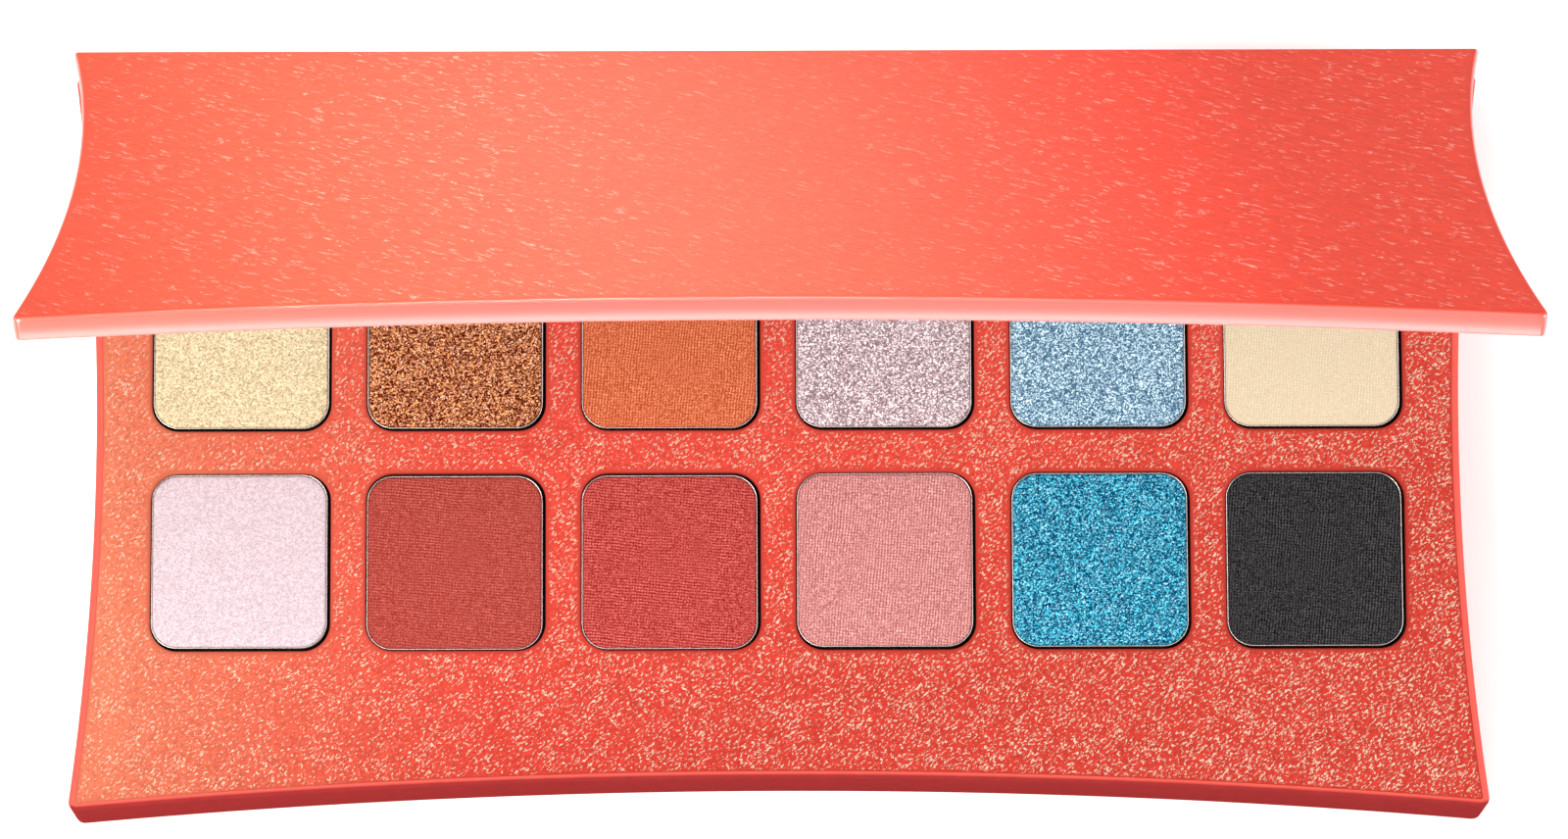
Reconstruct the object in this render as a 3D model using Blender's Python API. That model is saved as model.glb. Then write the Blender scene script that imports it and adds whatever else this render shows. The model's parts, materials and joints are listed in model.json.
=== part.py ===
# Eyeshadow palette: a moulded clamshell case with pinched sides, twelve pressed-powder pans
# under a windowed face plate, and a mirrored lid on two hinge pins.
# Metres, +Z up. X runs along the hinge, +Y points to the hinge, and the origin is
# the middle of the underside.

import math

import bmesh
import bpy
from mathutils import Matrix, Vector

# Pan windows in the face plate
COLUMNS = 6
ROWS = 2
WINDOW = 0.0250           # side of a window
WINDOW_RADIUS = 0.0038    # its corners
BRIDGE_X = 0.0051         # bar between neighbouring columns
BRIDGE_Y = 0.0062         # bar between the rows

# Outline seen from above: straight back edge, sides and front drawn in
SIDE_MARGIN = 0.0079      # outer windows to the waist of each side
FRONT_MARGIN = 0.0182     # front windows to the middle of the front edge
BACK_MARGIN = 0.0262      # back windows to the back edge
SIDE_SAG = 0.0035         # how far each side of the base is drawn in
FRONT_SAG = 0.0044        # how far the front of the base is drawn in
LID_FLARE = 0.0005        # corners of the lid past those of the base
LID_SIDE_SAG = 0.0043     # how far each side of the lid is drawn in
LID_FRONT_SAG = 0.0068    # how far the front of the lid is, to leave a lip for the thumb
CORNER_RADIUS = 0.0012    # upright corners
EDGE_RADIUS = 0.0012      # upper edges of the base and the lid
FOOT_RADIUS = 0.0007      # lower edges of the base and the lid

# Base shell and face plate
BASE_HEIGHT = 0.0140
FLOOR = 0.0016
RIM = 0.0014              # smooth rim round the face plate
WALL = 0.0024             # walls under the ledge that carries the plate
FACE_PLATE = 0.0014       # plate thickness
PLATE_EDGE = 0.0003       # softened upper edges of the plate and its windows

# Pans and powder
PAN_GAP = 0.0004          # window to pan, all round
PAN_DROP = 0.0005         # pan rim below the face
PAN_HEIGHT = 0.0040
PAN_FOOT_RADIUS = 0.0008
TIN = 0.00035             # drawn sheet of the pan
POWDER_CROWN = 0.00015    # middle of the cake above its shoulder
POWDER_RISE = 0.0001      # shoulder of the cake above the pan rim
POWDER_EDGE = 0.0006      # rounded shoulder of the cake

# Inner tray
TRAY_FLOOR = 0.0010       # under each well
RIB = 0.0016              # ribs under the tray

# Lid
LID_THICKNESS = 0.0034
LID_SKIN = 0.0012         # face of the lid
LID_WALL = 0.0018         # rim of the lid
LID_TAIL = 0.0012         # back edge of the lid behind the hinge axis
OPEN_ANGLE = 57.5         # degrees from shut, as the lid stands here
MIRROR_BORDER = 0.0060    # frame showing at the sides and the back of the mirror
MIRROR_RADIUS = 0.0040
MIRROR_GLASS = 0.0013
TAPE = 0.0003
TAPE_INSET = 0.0030       # tape edge inside the mirror edge
FRAME_RECESS = 0.0002     # frame inside the lid's rim

# Hinge
AXIS_SETBACK = 0.0024     # axis to the back wall
AXIS_DROP = 0.0025        # axis below the face
RIDGE_RADIUS = 0.0046     # rounded ridge under the back of the lid
RIDGE_END = 0.0040        # end of the ridge to the corner of the case
KNUCKLE_END = 0.0130      # lid knuckle to the corner of the case
KNUCKLE_RADIUS = 0.0022
LID_KNUCKLE = 0.0140      # its length
LID_WEB = 0.0020          # neck between a lid knuckle and the lid
NOTCH_DEPTH = 0.0034      # notch for a lid knuckle, below the axis
PIN_RADIUS = 0.0008
PIN_END = 0.0015          # outer end of a pin to the corner of the case
PIN_BITE = 0.0080         # inner end of a pin past the lid knuckle
RAIL_WALL = 0.0016        # wall in front of the hinge notches

# Closing magnets
MAGNET_RADIUS = 0.0040
BASE_MAGNET = 0.0020      # thickness
LID_MAGNET = 0.0010       # thickness

# Clearances
FIT = 0.0003              # between pieces that seat on each other
BOND = 0.0001             # glued layers
SEAM = 0.00012            # face plate to the rim round it
PIN_PLAY = 0.0002         # round a pin
SWING = 0.0005            # round the turning knuckles and rim
OVERCUT = 0.0010          # cutters run past the faces they open

# Smoothness
SIDE_STEPS = 12
FRONT_STEPS = 20
CORNER_STEPS = 4
ROUND_STEPS = 3
CIRCLE_STEPS = 24
RIDGE_STEPS = 8
PLAIN_STEPS = 1           # hidden corners and the smallest edges

# Colours, 0 to 255 as they look
CORAL = (232, 92, 72)
BLACK = (22, 21, 22)
SILVER = (205, 203, 200)
GREY = (120, 120, 124)
MIRROR_TINT = (236, 240, 242)
BACK_SHADES = (
    ("pale_gold", (226, 196, 140), 0.45),
    ("bronze", (140, 76, 40), 0.45),
    ("burnt_orange", (196, 92, 48), 0.90),
    ("lilac", (196, 168, 178), 0.45),
    ("sky_blue", (124, 160, 204), 0.45),
    ("cream", (238, 222, 184), 0.90),
)
FRONT_SHADES = (
    ("pearl", (240, 214, 224), 0.45),
    ("brick", (158, 60, 52), 0.90),
    ("crimson", (176, 48, 52), 0.90),
    ("rose", (204, 112, 112), 0.90),
    ("turquoise", (30, 140, 180), 0.40),
    ("charcoal", (40, 38, 40), 0.90),
)

# Worked out from the sizes above
PITCH_X = WINDOW + BRIDGE_X
PITCH_Y = WINDOW + BRIDGE_Y
GRID_WIDTH = COLUMNS * PITCH_X - BRIDGE_X
GRID_DEPTH = ROWS * PITCH_Y - BRIDGE_Y
WIDTH = GRID_WIDTH + 2 * (SIDE_MARGIN + SIDE_SAG)
DEPTH = FRONT_SAG + FRONT_MARGIN + GRID_DEPTH + BACK_MARGIN
LID_WIDTH = WIDTH + 2 * LID_FLARE
BACK_Y = DEPTH / 2
FRONT_Y = -DEPTH / 2
GRID_BACK = BACK_Y - BACK_MARGIN
GRID_FRONT = GRID_BACK - GRID_DEPTH

LEDGE_Z = BASE_HEIGHT - FACE_PLATE - FIT
TRAY_TOP = LEDGE_Z
PAN_RIM_Z = BASE_HEIGHT - PAN_DROP
PAN_SIDE = WINDOW - 2 * PAN_GAP
PAN_RADIUS = WINDOW_RADIUS - PAN_GAP
PAN_FLOOR_Z = PAN_RIM_Z - PAN_HEIGHT
WELL_FLOOR_Z = PAN_FLOOR_Z - FIT
TRAY_POCKET_Z = WELL_FLOOR_Z - TRAY_FLOOR

AXIS = Vector((0.0, BACK_Y - AXIS_SETBACK, BASE_HEIGHT - AXIS_DROP))
NOTCH_FRONT = AXIS.y - KNUCKLE_RADIUS - SWING
RAIL_FRONT = min(NOTCH_FRONT, AXIS.y - RIDGE_RADIUS) - RAIL_WALL
LEDGE_BACK = RAIL_FRONT - (WALL - RIM)
KNUCKLE_OUT = WIDTH / 2 - KNUCKLE_END
KNUCKLE_IN = KNUCKLE_OUT - LID_KNUCKLE
PIN_OUT = WIDTH / 2 - PIN_END
PIN_IN = KNUCKLE_IN - PIN_BITE

LID_BOTTOM = BASE_HEIGHT + FIT
LID_TOP = LID_BOTTOM + LID_THICKNESS
SKIN_Z = LID_TOP - LID_SKIN
LID_BACK = AXIS.y + LID_TAIL
LID_RIM_BACK = AXIS.y - RIDGE_RADIUS - SWING
FRAME_BACK = LID_RIM_BACK - LID_WALL - FIT
MAGNET_X = (COLUMNS / 2 - 1) * PITCH_X
MAGNET_Y = GRID_FRONT - FRONT_MARGIN / 2
MIRROR_FRONT = MAGNET_Y + MAGNET_RADIUS + FIT + LID_WALL
MIRROR_BACK = FRAME_BACK - MIRROR_BORDER
MIRROR_HALF = LID_WIDTH / 2 - LID_SIDE_SAG - LID_WALL - FIT - MIRROR_BORDER
SIDES = (("left", -1), ("right", 1))


def linear(level):
    level /= 255
    return level / 12.92 if level <= 0.04045 else ((level + 0.055) / 1.055) ** 2.4


def material(name, colour, roughness, metallic=0.0):
    finish = bpy.data.materials.new(name)
    finish.use_nodes = True
    shader = finish.node_tree.nodes["Principled BSDF"]
    shader.inputs["Base Color"].default_value = (*map(linear, colour), 1.0)
    shader.inputs["Roughness"].default_value = roughness
    shader.inputs["Metallic"].default_value = metallic
    return finish


def new_collection(name):
    group = bpy.data.collections.new(name)
    bpy.context.scene.collection.children.link(group)
    return group


# Outlines, counter-clockwise seen from above

def sag_radius(chord, sag):
    return (chord * chord / 4 + sag * sag) / (2 * sag)


def arc(centre, radius, start, end, steps):
    points = []
    for step in range(steps + 1):
        angle = start + (end - start) * step / steps
        points.append((centre[0] + radius * math.cos(angle), centre[1] + radius * math.sin(angle)))
    return points


def rounded_rectangle(left, front, right, back, radius, steps=CORNER_STEPS):
    points = []
    corners = ((right, back, -1, -1), (left, back, 1, -1), (left, front, 1, 1), (right, front, -1, 1))
    for quarter, (x, y, inward_x, inward_y) in enumerate(corners):
        centre = (x + inward_x * radius, y + inward_y * radius)
        start = quarter * math.pi / 2
        points += arc(centre, radius, start, start + math.pi / 2, steps)
    return points


def squares(side, radius):
    # One rounded square at every pan position
    outlines = []
    for row in range(ROWS):
        for column in range(COLUMNS):
            x, y = pan_place(row, column)
            outlines.append(rounded_rectangle(x - side / 2, y - side / 2, x + side / 2, y + side / 2, radius))
    return outlines


def pan_place(row, column):
    x = (column - (COLUMNS - 1) / 2) * PITCH_X
    y = GRID_FRONT + WINDOW / 2 + row * PITCH_Y
    return x, y


def pinched_outline(inset, back, width=WIDTH, side_sag=SIDE_SAG, front_sag=FRONT_SAG):
    # Case outline moved in by inset and closed by a straight edge at y = back
    side_radius = sag_radius(DEPTH, side_sag)
    front_radius = sag_radius(width, front_sag)
    side_centre = Vector((width / 2 - side_sag + side_radius, 0.0))
    front_centre = Vector((0.0, FRONT_Y + front_sag - front_radius))
    side_radius += inset
    front_radius += inset

    # The front corner is where the side and front circles cross
    span = side_centre - front_centre
    along = (front_radius**2 - side_radius**2 + span.length_squared) / (2 * span.length)
    across = math.sqrt(front_radius**2 - along**2)
    direction = span.normalized()
    corner = front_centre + along * direction + across * Vector((-direction.y, direction.x))

    front_end = math.atan2(corner.y - front_centre.y, corner.x)
    side_start = math.atan2(corner.y - side_centre.y, corner.x - side_centre.x) % math.tau
    side_end = math.pi - math.asin(back / side_radius)
    right = arc(side_centre, side_radius, side_start, side_end, SIDE_STEPS)
    left = [(-x, y) for x, y in reversed(right)]
    front = arc(front_centre, front_radius, math.pi - front_end, front_end, FRONT_STEPS)
    return right + left + front[1:-1]


def lid_outline(inset, back):
    return pinched_outline(inset, back, LID_WIDTH, LID_SIDE_SAG, LID_FRONT_SAG)


# Solids

def slab(name, outlines, bottom, top):
    # Flat outlines filled and thickened, outlines inside another being holes
    curve = bpy.data.curves.new(name, "CURVE")
    curve.dimensions = "2D"
    curve.fill_mode = "BOTH"
    curve.extrude = (top - bottom) / 2
    for outline in outlines:
        spline = curve.splines.new("POLY")
        spline.points.add(len(outline) - 1)
        spline.use_cyclic_u = True
        for point, (x, y) in zip(spline.points, outline):
            point.co = (x, y, 0.0, 1.0)
    guide = bpy.data.objects.new(name, curve)
    guide.location.z = (bottom + top) / 2
    bpy.context.scene.collection.objects.link(guide)
    bpy.context.view_layer.update()
    evaluated = guide.evaluated_get(bpy.context.evaluated_depsgraph_get())
    mesh = bpy.data.meshes.new_from_object(evaluated)
    mesh.transform(guide.matrix_world)
    bpy.data.objects.remove(guide)
    bpy.data.curves.remove(curve)

    form = bmesh.new()
    form.from_mesh(mesh)
    bmesh.ops.remove_doubles(form, verts=form.verts, dist=1e-6)
    bmesh.ops.dissolve_limit(form, angle_limit=math.radians(0.05), verts=form.verts, edges=form.edges)
    bmesh.ops.recalc_face_normals(form, faces=form.faces)
    form.to_mesh(mesh)
    form.free()
    mesh.name = name
    return bpy.data.objects.new(name, mesh)


def disc(name, radius, bottom, top, x, y):
    circle = arc((x, y), radius, 0.0, math.tau, CIRCLE_STEPS)[:-1]
    return slab(name, [circle], bottom, top)


def rod(name, radius, start, end):
    # Round bar along the hinge axis from x = start to x = end
    form = bmesh.new()
    bmesh.ops.create_cone(form, cap_ends=True, segments=CIRCLE_STEPS, radius1=radius, radius2=radius,
                          depth=end - start)
    turn = Matrix.Rotation(math.pi / 2, 4, "Y")
    place = Matrix.Translation(((start + end) / 2, AXIS.y, AXIS.z))
    bmesh.ops.transform(form, matrix=place @ turn, verts=form.verts)
    mesh = bpy.data.meshes.new(name)
    form.to_mesh(mesh)
    form.free()
    return bpy.data.objects.new(name, mesh)


def bar(name, profile, start, end):
    # Side profile of y and z from the hinge axis, drawn out from x = start to x = end
    piece = slab(name, [profile], start, end)
    swing_round = Matrix(((0, 0, 1, 0), (1, 0, 0, AXIS.y), (0, 1, 0, AXIS.z), (0, 0, 0, 1)))
    piece.data.transform(swing_round)
    return piece


def box(name, low, high):
    form = bmesh.new()
    bmesh.ops.create_cube(form, size=1.0)
    size = Vector(high) - Vector(low)
    middle = (Vector(high) + Vector(low)) / 2
    bmesh.ops.transform(form, matrix=Matrix.Translation(middle) @ Matrix.Diagonal((*size, 1.0)), verts=form.verts)
    mesh = bpy.data.meshes.new(name)
    form.to_mesh(mesh)
    form.free()
    return bpy.data.objects.new(name, mesh)


def edges_at(form, height):
    # Edges round the flat face at one height
    level = [face for face in form.faces if all(abs(v.co.z - height) < 1e-7 for v in face.verts)]
    return [edge for face in level for edge in face.edges if edge.calc_face_angle(0.0) > math.radians(30)]


def round_edges(form, edges, radius, steps=ROUND_STEPS):
    bmesh.ops.bevel(form, geom=list(set(edges)), offset=radius, segments=steps, profile=0.5,
                    affect="EDGES", clamp_overlap=True)


def round_corners(form, radius):
    upright = []
    for edge in form.edges:
        rise = abs(edge.verts[0].co.z - edge.verts[1].co.z)
        if rise > 1e-6 and edge.calc_face_angle(0.0) > math.radians(45):
            upright.append(edge)
    round_edges(form, upright, radius)


def shape(piece, work):
    # Runs work on the piece's mesh opened for editing
    form = bmesh.new()
    form.from_mesh(piece.data)
    work(form)
    form.to_mesh(piece.data)
    form.free()


def keep(piece, finish, group):
    piece.data.materials.clear()
    piece.data.materials.append(finish)
    piece.data.shade_smooth()
    piece.data.set_sharp_from_angle(angle=math.radians(35))
    group.objects.link(piece)
    return piece


def boolean(piece, tool, operation):
    tool.hide_render = True
    tool.display_type = "WIRE"
    cutters.objects.link(tool)
    modifier = piece.modifiers.new(tool.name, "BOOLEAN")
    modifier.operation = operation
    modifier.object = tool
    return tool


def cut(piece, tool):
    return boolean(piece, tool, "DIFFERENCE")


def join(piece, tool):
    return boolean(piece, tool, "UNION")


# Pieces of the base

def build_base_shell():
    shell = slab("base_shell", [pinched_outline(0.0, BACK_Y)], 0.0, BASE_HEIGHT)

    def soften(form):
        round_corners(form, CORNER_RADIUS)
        round_edges(form, edges_at(form, BASE_HEIGHT), EDGE_RADIUS)
        round_edges(form, edges_at(form, 0.0), FOOT_RADIUS)

    shape(shell, soften)
    keep(shell, coral, palette)
    above = BASE_HEIGHT + OVERCUT
    cut(shell, slab("plate_seat", [pinched_outline(RIM, RAIL_FRONT)], LEDGE_Z, above))
    cut(shell, slab("tray_space", [pinched_outline(WALL, LEDGE_BACK)], FLOOR, above))

    # Ridge on the rail behind the plate, round the hinge axis
    ridge_back = AXIS_SETBACK - EDGE_RADIUS
    ridge_foot = AXIS_DROP - OVERCUT
    over = arc((0.0, 0.0), RIDGE_RADIUS, math.acos(ridge_back / RIDGE_RADIUS),
               math.pi - math.asin(AXIS_DROP / RIDGE_RADIUS), RIDGE_STEPS)
    profile = over + [(over[-1][0], ridge_foot), (ridge_back, ridge_foot)]
    ridge_half = WIDTH / 2 - RIDGE_END
    join(shell, bar("hinge_ridge", profile, -ridge_half, ridge_half))
    for name, side in SIDES:
        ends = sorted((side * (KNUCKLE_IN - FIT), side * (KNUCKLE_OUT + FIT)))
        low = (ends[0], NOTCH_FRONT, AXIS.z - NOTCH_DEPTH)
        high = (ends[1], BACK_Y + OVERCUT, AXIS.z + RIDGE_RADIUS + OVERCUT)
        cut(shell, box("hinge_notch_" + name, low, high))
        ends = sorted((side * (PIN_IN - FIT), side * (WIDTH / 2 + OVERCUT)))
        cut(shell, rod("pin_bore_" + name, PIN_RADIUS + PIN_PLAY, *ends))


def build_face_plate():
    outlines = [pinched_outline(RIM + SEAM, RAIL_FRONT - SEAM)] + squares(WINDOW, WINDOW_RADIUS)
    plate = slab("face_plate", outlines, BASE_HEIGHT - FACE_PLATE, BASE_HEIGHT)
    shape(plate, lambda form: round_edges(form, edges_at(form, BASE_HEIGHT), PLATE_EDGE, PLAIN_STEPS))
    keep(plate, coral, palette)


def build_pan_tray():
    tray_bottom = FLOOR + FIT
    tray_top = TRAY_TOP - FIT
    tray = slab("pan_tray", [pinched_outline(WALL + FIT, LEDGE_BACK - FIT)], tray_bottom, tray_top)
    keep(tray, black, palette)
    cut(tray, slab("pan_wells", squares(WINDOW, WINDOW_RADIUS), WELL_FLOOR_Z, tray_top + OVERCUT))

    # Pockets under the tray leave ribs between the wells and along the front and back strips
    half_x = (PITCH_X - RIB) / 2
    front_wall = FRONT_Y + FRONT_SAG + WALL + FIT
    seams = [front_wall + RIB / 2, GRID_FRONT - BRIDGE_Y / 2]
    seams += [GRID_FRONT + (row + 1) * PITCH_Y - BRIDGE_Y / 2 for row in range(ROWS)]
    seams += [LEDGE_BACK - FIT - RIB / 2]
    pockets = []
    for front, back in zip(seams, seams[1:]):
        for column in range(COLUMNS):
            x = pan_place(0, column)[0]
            pockets.append(rounded_rectangle(x - half_x, front + RIB / 2, x + half_x, back - RIB / 2,
                                             RIB, PLAIN_STEPS))
    cut(tray, slab("tray_pockets", pockets, tray_bottom - OVERCUT, TRAY_POCKET_Z))
    for name, side in SIDES:
        low = tray_top - FIT - BASE_MAGNET - FIT
        seat = disc("base_magnet_seat_" + name, MAGNET_RADIUS + FIT, low, tray_top + OVERCUT,
                    side * MAGNET_X, MAGNET_Y)
        cut(tray, seat)
        magnet = disc("base_magnet_" + name, MAGNET_RADIUS, low + FIT, low + FIT + BASE_MAGNET,
                      side * MAGNET_X, MAGNET_Y)
        keep(magnet, nickel, palette)


def build_pans():
    half = PAN_SIDE / 2
    outline = rounded_rectangle(-half, -half, half, half, PAN_RADIUS)
    pan = slab("pan", [outline], 0.0, PAN_HEIGHT)

    def press(form):
        round_edges(form, edges_at(form, 0.0), PAN_FOOT_RADIUS, PLAIN_STEPS)
        mouth = [face for face in form.faces if face.calc_center_median().z > PAN_HEIGHT - 1e-6]
        bmesh.ops.inset_region(form, faces=mouth, thickness=TIN, use_even_offset=True)
        sunk = bmesh.ops.extrude_face_region(form, geom=mouth)
        bmesh.ops.delete(form, geom=mouth, context="FACES_ONLY")
        corners = [item for item in sunk["geom"] if isinstance(item, bmesh.types.BMVert)]
        bmesh.ops.translate(form, verts=corners, vec=(0.0, 0.0, TIN - PAN_HEIGHT))
        round_edges(form, edges_at(form, TIN), PAN_FOOT_RADIUS - TIN, PLAIN_STEPS)

    shape(pan, press)

    reach = half - TIN - BOND
    outline = rounded_rectangle(-reach, -reach, reach, reach, PAN_RADIUS - TIN - BOND)
    cake_height = PAN_HEIGHT - TIN - BOND + POWDER_RISE
    cake = slab("powder", [outline], 0.0, cake_height)

    def crown(form):
        round_edges(form, edges_at(form, 0.0), PAN_FOOT_RADIUS - TIN, PLAIN_STEPS)
        round_edges(form, edges_at(form, cake_height), POWDER_EDGE)
        top = [face for face in form.faces if face.calc_center_median().z > cake_height - 1e-6]
        bmesh.ops.inset_region(form, faces=top, thickness=PAN_RADIUS, use_even_offset=True)
        bmesh.ops.translate(form, verts=top[0].verts, vec=(0.0, 0.0, POWDER_CROWN))

    shape(cake, crown)

    for row, (row_name, shades) in enumerate((("front", FRONT_SHADES), ("back", BACK_SHADES))):
        for column in range(COLUMNS):
            x, y = pan_place(row, column)
            shade, colour, roughness = shades[column]
            tin = bpy.data.objects.new(f"pan_{row_name}_{column + 1}", pan.data)
            tin.location = (x, y, PAN_FLOOR_Z)
            keep(tin, tinplate, palette)
            powder = bpy.data.objects.new(f"powder_{row_name}_{column + 1}", cake.data.copy())
            powder.location = (x, y, PAN_FLOOR_Z + TIN + BOND)
            keep(powder, material(shade, colour, roughness), palette)
    bpy.data.objects.remove(pan)
    bpy.data.objects.remove(cake)


def build_hinge_pins():
    for name, side in SIDES:
        ends = sorted((side * PIN_IN, side * PIN_OUT))
        keep(rod("hinge_pin_" + name, PIN_RADIUS, *ends), steel, palette)


# Pieces of the lid, drawn shut and then hung on the hinge

def hang(piece):
    piece.data.transform(Matrix.Translation(-AXIS))
    piece.parent = lid_hinge
    return piece


def build_lid_shell():
    shell = slab("lid_shell", [lid_outline(0.0, LID_BACK)], LID_BOTTOM, LID_TOP)

    def soften(form):
        round_corners(form, CORNER_RADIUS)
        round_edges(form, edges_at(form, LID_TOP), EDGE_RADIUS)
        round_edges(form, edges_at(form, LID_BOTTOM), FOOT_RADIUS)

    shape(shell, soften)
    keep(hang(shell), coral, palette)
    below = LID_BOTTOM - OVERCUT
    recess = lid_outline(LID_WALL, LID_RIM_BACK - LID_WALL)
    hang(cut(shell, slab("lid_recess", [recess], below, SKIN_Z)))
    low = (-LID_WIDTH, LID_RIM_BACK, below)
    high = (LID_WIDTH, LID_BACK + OVERCUT, SKIN_Z)
    hang(cut(shell, box("hinge_clearance", low, high)))
    for name, side in SIDES:
        ends = sorted((side * KNUCKLE_IN, side * KNUCKLE_OUT))
        hang(join(shell, rod("lid_knuckle_" + name, KNUCKLE_RADIUS, *ends)))
        low = (ends[0], AXIS.y - LID_WEB / 2, AXIS.z)
        high = (ends[1], AXIS.y + LID_WEB / 2, SKIN_Z + LID_SKIN / 2)
        hang(join(shell, box("lid_web_" + name, low, high)))
        ends = (ends[0] - OVERCUT, ends[1] + OVERCUT)
        hang(cut(shell, rod("lid_bore_" + name, PIN_RADIUS + PIN_PLAY, *ends)))


def mirror_outline(inset):
    reach = MIRROR_HALF - inset
    return rounded_rectangle(-reach, MIRROR_FRONT + inset, reach, MIRROR_BACK - inset, MIRROR_RADIUS)


def build_lid_inside():
    frame_bottom = LID_BOTTOM + FRAME_RECESS
    frame_top = SKIN_Z - FIT
    outlines = [lid_outline(LID_WALL + FIT, FRAME_BACK), mirror_outline(-FIT)]
    frame = keep(hang(slab("mirror_frame", outlines, frame_bottom, frame_top)), coral, palette)

    tape_top = SKIN_Z - BOND
    tape = slab("mirror_tape", [mirror_outline(TAPE_INSET)], tape_top - TAPE, tape_top)
    keep(hang(tape), white, palette)
    glass_top = tape_top - TAPE - BOND
    glass = slab("mirror", [mirror_outline(0.0)], glass_top - MIRROR_GLASS, glass_top)
    keep(hang(glass), silvered, palette)

    for name, side in SIDES:
        low = frame_top - BOND - LID_MAGNET - BOND
        x = side * MAGNET_X
        seat = disc("lid_magnet_seat_" + name, MAGNET_RADIUS + FIT, low, frame_top + OVERCUT, x, MAGNET_Y)
        hang(cut(frame, seat))
        magnet = disc("lid_magnet_" + name, MAGNET_RADIUS, low + BOND, low + BOND + LID_MAGNET, x, MAGNET_Y)
        keep(hang(magnet), nickel, palette)


for old in list(bpy.data.objects):
    bpy.data.objects.remove(old)

palette = new_collection("eyeshadow_palette")
cutters = new_collection("cutters")
coral = material("coral_plastic", CORAL, 0.45)
black = material("black_plastic", BLACK, 0.55)
tinplate = material("tinplate", SILVER, 0.30, 1.0)
nickel = material("nickel", SILVER, 0.25, 1.0)
steel = material("steel", GREY, 0.35, 1.0)
white = material("foam_tape", SILVER, 0.90)
silvered = material("mirror_glass", MIRROR_TINT, 0.02, 1.0)

lid_hinge = bpy.data.objects.new("lid_hinge", None)
lid_hinge.location = AXIS
lid_hinge.rotation_euler.x = -math.radians(OPEN_ANGLE)
palette.objects.link(lid_hinge)

build_base_shell()
build_face_plate()
build_pan_tray()
build_pans()
build_hinge_pins()
build_lid_shell()
build_lid_inside()
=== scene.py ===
import json
import math

import bmesh
import bpy
import numpy as np
from mathutils import Matrix, Vector, noise
from mathutils.geometry import delaunay_2d_cdt
from mathutils.kdtree import KDTree


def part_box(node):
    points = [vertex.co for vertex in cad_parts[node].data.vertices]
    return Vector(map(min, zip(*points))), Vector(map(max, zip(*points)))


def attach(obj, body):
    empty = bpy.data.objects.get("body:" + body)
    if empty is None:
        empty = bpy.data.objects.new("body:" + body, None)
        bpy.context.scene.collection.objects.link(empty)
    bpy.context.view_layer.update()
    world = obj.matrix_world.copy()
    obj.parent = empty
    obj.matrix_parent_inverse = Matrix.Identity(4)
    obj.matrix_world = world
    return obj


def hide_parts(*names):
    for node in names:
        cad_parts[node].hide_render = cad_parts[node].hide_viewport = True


# Eyeshadow palette: finer shells, plate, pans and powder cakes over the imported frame,
# with the finish of every surface. Metres, in the frame's own axes.
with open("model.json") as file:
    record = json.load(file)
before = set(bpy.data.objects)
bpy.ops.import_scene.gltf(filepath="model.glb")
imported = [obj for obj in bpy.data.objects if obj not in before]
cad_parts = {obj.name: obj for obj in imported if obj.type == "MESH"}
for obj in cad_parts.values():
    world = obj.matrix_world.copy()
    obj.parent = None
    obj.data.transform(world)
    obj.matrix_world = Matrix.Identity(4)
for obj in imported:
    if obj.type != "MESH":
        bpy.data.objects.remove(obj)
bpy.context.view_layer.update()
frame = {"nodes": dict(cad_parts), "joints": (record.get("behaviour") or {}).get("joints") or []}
nodes = frame["nodes"]
panNames = [name for name in nodes if name.startswith("pan_") and name != "pan_tray"]
hinge = frame["joints"][0]
hingeAxis = Vector(hinge["pos_m"])
shutTurn = math.radians(hinge["range_deg"][0])  # from the way the lid stands to shut
lidTurn = Matrix.Rotation(-shutTurn, 4, Vector(hinge["axis"]))
lidStands = Matrix.Translation(hingeAxis) @ lidTurn @ Matrix.Translation(-hingeAxis)  # from shut
print("frame loaded:", len(nodes), "nodes")


# Node trees
white = (1.0, 1.0, 1.0, 1.0)
noiseSpan = (0.3, 0.7)      # most of a noise lies in here
noiseMiddle = 0.5
wallToLevel = (0.05, 0.95)  # upward part of the normal, from upright walls to level faces


def linear(level):
    level /= 255
    return level / 12.92 if level <= 0.04045 else ((level + 0.055) / 1.055) ** 2.4


def colour(red, green, blue):
    # From the 0 to 255 of a colour picker
    return (linear(red), linear(green), linear(blue), 1.0)


def shade(tone, share):
    return (tone[0] * share, tone[1] * share, tone[2] * share, 1.0)


def newFinish(name, sockets):
    finish = bpy.data.materials.new(name)
    finish.use_nodes = True
    tree = finish.node_tree
    shader = tree.nodes["Principled BSDF"]
    for socket, value in sockets.items():
        shader.inputs[socket].default_value = value
    return finish, tree, shader


def addNode(tree, kind, inputs, **settings):
    node = tree.nodes.new("ShaderNode" + kind)
    for name, value in settings.items():
        setattr(node, name, value)
    for socket, value in inputs.items():
        if isinstance(value, bpy.types.NodeSocket):
            tree.links.new(value, node.inputs[socket])
        else:
            node.inputs[socket].default_value = value
    return node


def feed(tree, shader, socket, value):
    tree.links.new(value, shader.inputs[socket])


def position(tree):
    return addNode(tree, "TexCoord", {}).outputs["Object"]


def speckle(tree, place, scale, detail=2.0, rough=0.5, curl=0.0):
    sockets = {"Vector": place, "Scale": scale, "Detail": detail, "Roughness": rough, "Distortion": curl}
    return addNode(tree, "TexNoise", sockets).outputs["Fac"]


def mathNode(tree, operation, *values):
    return addNode(tree, "Math", dict(enumerate(values)), operation=operation).outputs[0]


def vectorNode(tree, operation, first, second):
    return addNode(tree, "VectorMath", {0: first, 1: second}, operation=operation).outputs[0]


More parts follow.
